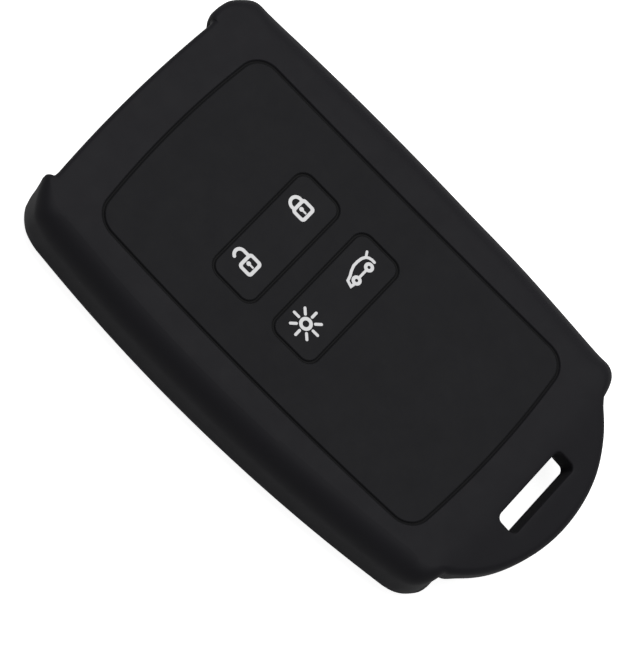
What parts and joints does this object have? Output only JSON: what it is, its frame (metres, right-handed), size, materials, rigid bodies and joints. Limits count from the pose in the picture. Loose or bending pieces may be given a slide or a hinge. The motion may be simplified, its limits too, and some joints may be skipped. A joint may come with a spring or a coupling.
{
  "type": "key fob cover",
  "caption": "Soft black rubber cover for a card-shaped car key fob, with a flush front panel, press keys, open ends, a back window and a slotted lanyard tab.",
  "frame": {"origin": "middle of the footprint at the back face", "axes": "+X across the cover towards the lock key, +Y along it from the lanyard tab to the plain end, +Z out of the front face"},
  "size_m": [0.0592, 0.0996, 0.0128],
  "materials": {
    "sleeve": "satin",
    "front_panel": "satin",
    "lanyard_tab": "satin",
    "key": "satin",
    "web": "satin"
  },
  "bodies": {
    "cover": {"sleeve": "sleeve", "front_panel": "front_panel", "lanyard_tab": "lanyard_tab", "lock_web": "web", "unlock_web": "web", "boot_web": "web", "light_web": "web"},
    "lock_button": {"lock_key": "key"},
    "unlock_button": {"unlock_key": "key"},
    "boot_button": {"boot_key": "key"},
    "light_button": {"light_key": "key"}
  },
  "joints": [
    {"name": "lock_press", "type": "slide", "parent": "cover", "child": "lock_button", "axis": [0, 0, -1], "range_m": [0, 0.0008], "stiffness_N_per_m": 2500},
    {"name": "unlock_press", "type": "slide", "parent": "cover", "child": "unlock_button", "axis": [0, 0, -1], "range_m": [0, 0.0008], "stiffness_N_per_m": 2500},
    {"name": "boot_press", "type": "slide", "parent": "cover", "child": "boot_button", "axis": [0, 0, -1], "range_m": [0, 0.0008], "stiffness_N_per_m": 2500},
    {"name": "light_press", "type": "slide", "parent": "cover", "child": "light_button", "axis": [0, 0, -1], "range_m": [0, 0.0008], "stiffness_N_per_m": 2500}
  ]
}
